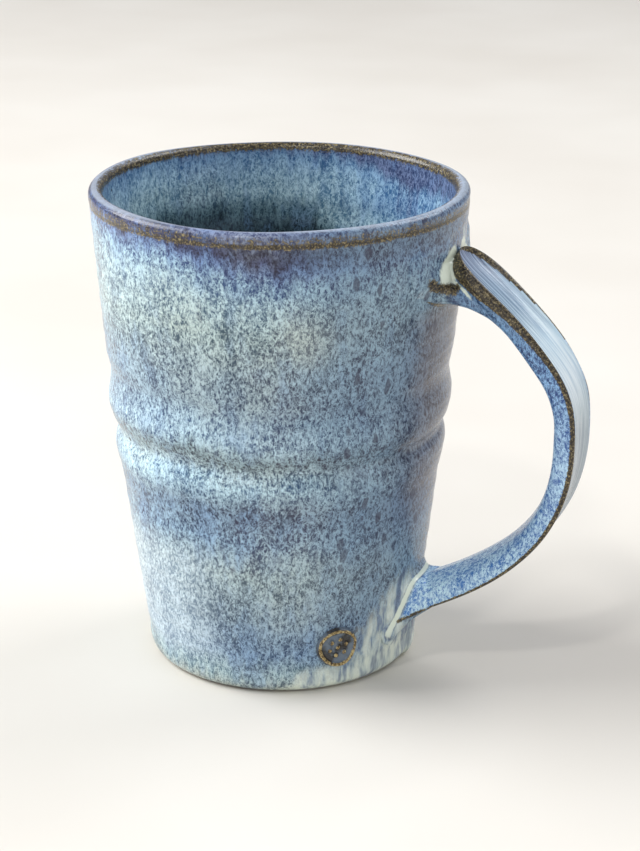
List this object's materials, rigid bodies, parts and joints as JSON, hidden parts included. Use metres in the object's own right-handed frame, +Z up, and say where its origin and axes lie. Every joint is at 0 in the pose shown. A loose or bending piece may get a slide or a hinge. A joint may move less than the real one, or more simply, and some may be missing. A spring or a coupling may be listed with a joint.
{
  "type": "stoneware mug",
  "caption": "Hand-thrown stoneware mug with a tapering cup, throwing ridges, a pulled strap handle with a dished thumb rest, and a small stamped seal.",
  "frame": {"origin": "centre of the cup's flat foot, on its axis and on the resting plane", "axes": "+Z up along the cup's axis, +X from the axis towards the handle, +Y across the handle"},
  "size_m": [0.1225, 0.092, 0.12],
  "materials": {
    "cup_glaze": "glossy mottled blue-grey stoneware glaze, cream and navy flecks, brown where it breaks over the lip",
    "strap_glaze": "glossy mottled blue glaze, brown-gold on the strap's edges",
    "joint_glaze": "glossy glaze pooled pale green-grey in the joints",
    "seal_glaze": "glossy glaze, tan on the raised ring and dark in the recess",
    "slip": "matt fired slip, hidden inside the joints"
  },
  "bodies": {
    "root": {"cup_body": "cup_glaze", "handle_strap": "strap_glaze", "upper_wad": "joint_glaze", "lower_wad": "joint_glaze", "maker_seal": "seal_glaze", "upper_slip": "slip", "lower_slip": "slip", "seal_slip": "slip"}
  },
  "joints": []
}
